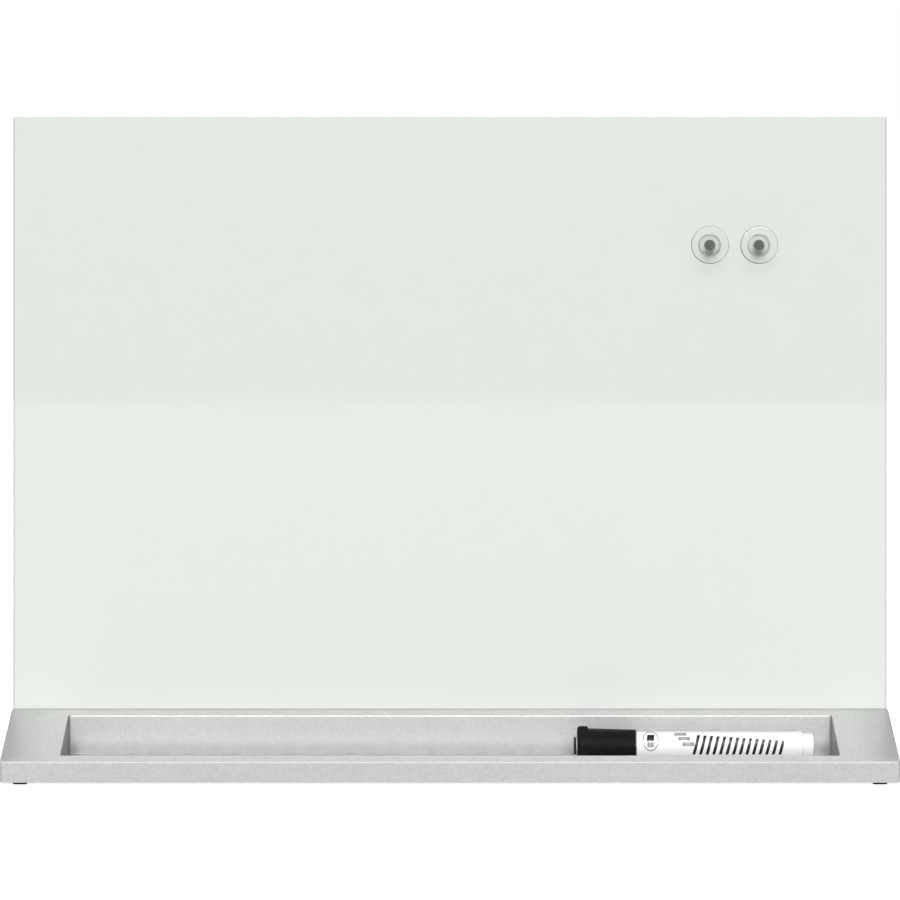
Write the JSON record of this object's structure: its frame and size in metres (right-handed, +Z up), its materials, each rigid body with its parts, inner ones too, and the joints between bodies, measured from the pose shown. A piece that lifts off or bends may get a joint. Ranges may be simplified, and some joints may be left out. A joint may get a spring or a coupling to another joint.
{
  "type": "magnetic glass desk easel",
  "caption": "Leaning white glass marker board, magnetic, in a silver wedge base with a long marker tray, clear round magnets and a capped marker.",
  "frame": {"origin": "on the desk surface under the feet, at the middle of the base's width and depth", "axes": "+X to the right along the base as its user sees it, +Y to the rear, away from the user, +Z up"},
  "size_m": [0.458, 0.131, 0.3336],
  "materials": {
    "silver_shell": "satin silver paint with a fine metallic fleck",
    "plate_steel": "black satin",
    "screw_steel": "zinc plated",
    "foot_rubber": "matt black",
    "white_glass": "clear tempered glass, white enamel behind, polished edges",
    "tape": "white foam tape",
    "painted_back": "light grey powder coat",
    "gasket_rubber": "grey rubber",
    "marker_white": "gloss white",
    "cap_black": "satin black",
    "liner_plastic": "natural polythene",
    "ink_fibre": "ink-soaked fibre",
    "nib_felt": "inked bullet nib",
    "clear_acrylic": "polished clear acrylic",
    "magnet_nickel": "dark nickel plate"
  },
  "bodies": {
    "stand": {"base_shell": "silver_shell", "base_plate": "plate_steel", "plate_screws": "screw_steel", "foot_front_left": "foot_rubber", "foot_front_right": "foot_rubber", "foot_rear_left": "foot_rubber", "foot_rear_right": "foot_rubber", "glass_sheet": "white_glass", "bonding_tape": "tape", "steel_sheet": "painted_back", "panel_gasket": "gasket_rubber"},
    "marker": {"marker_barrel": "marker_white", "marker_end_plug": "marker_white", "marker_reservoir": "ink_fibre", "marker_nib_collar": "marker_white", "marker_nib": "nib_felt"},
    "marker_cap": {"marker_cap": "cap_black", "marker_cap_liner": "liner_plastic"},
    "magnet_left": {"magnet_left_knob": "clear_acrylic", "magnet_left_core": "magnet_nickel"},
    "magnet_right": {"magnet_right_knob": "clear_acrylic", "magnet_right_core": "magnet_nickel"}
  },
  "joints": [
    {"name": "marker_lift", "type": "slide", "parent": "stand", "child": "marker", "axis": [0, 0, 1], "range_m": [0, 0.08]},
    {"name": "cap_pull", "type": "slide", "parent": "marker", "child": "marker_cap", "axis": [-1, 0, 0], "range_m": [0, 0.045]},
    {"name": "magnet_left_pull", "type": "slide", "parent": "stand", "child": "magnet_left", "axis": [0, -0.9903, 0.1392], "range_m": [0, 0.03]},
    {"name": "magnet_right_pull", "type": "slide", "parent": "stand", "child": "magnet_right", "axis": [0, -0.9903, 0.1392], "range_m": [0, 0.03]}
  ]
}
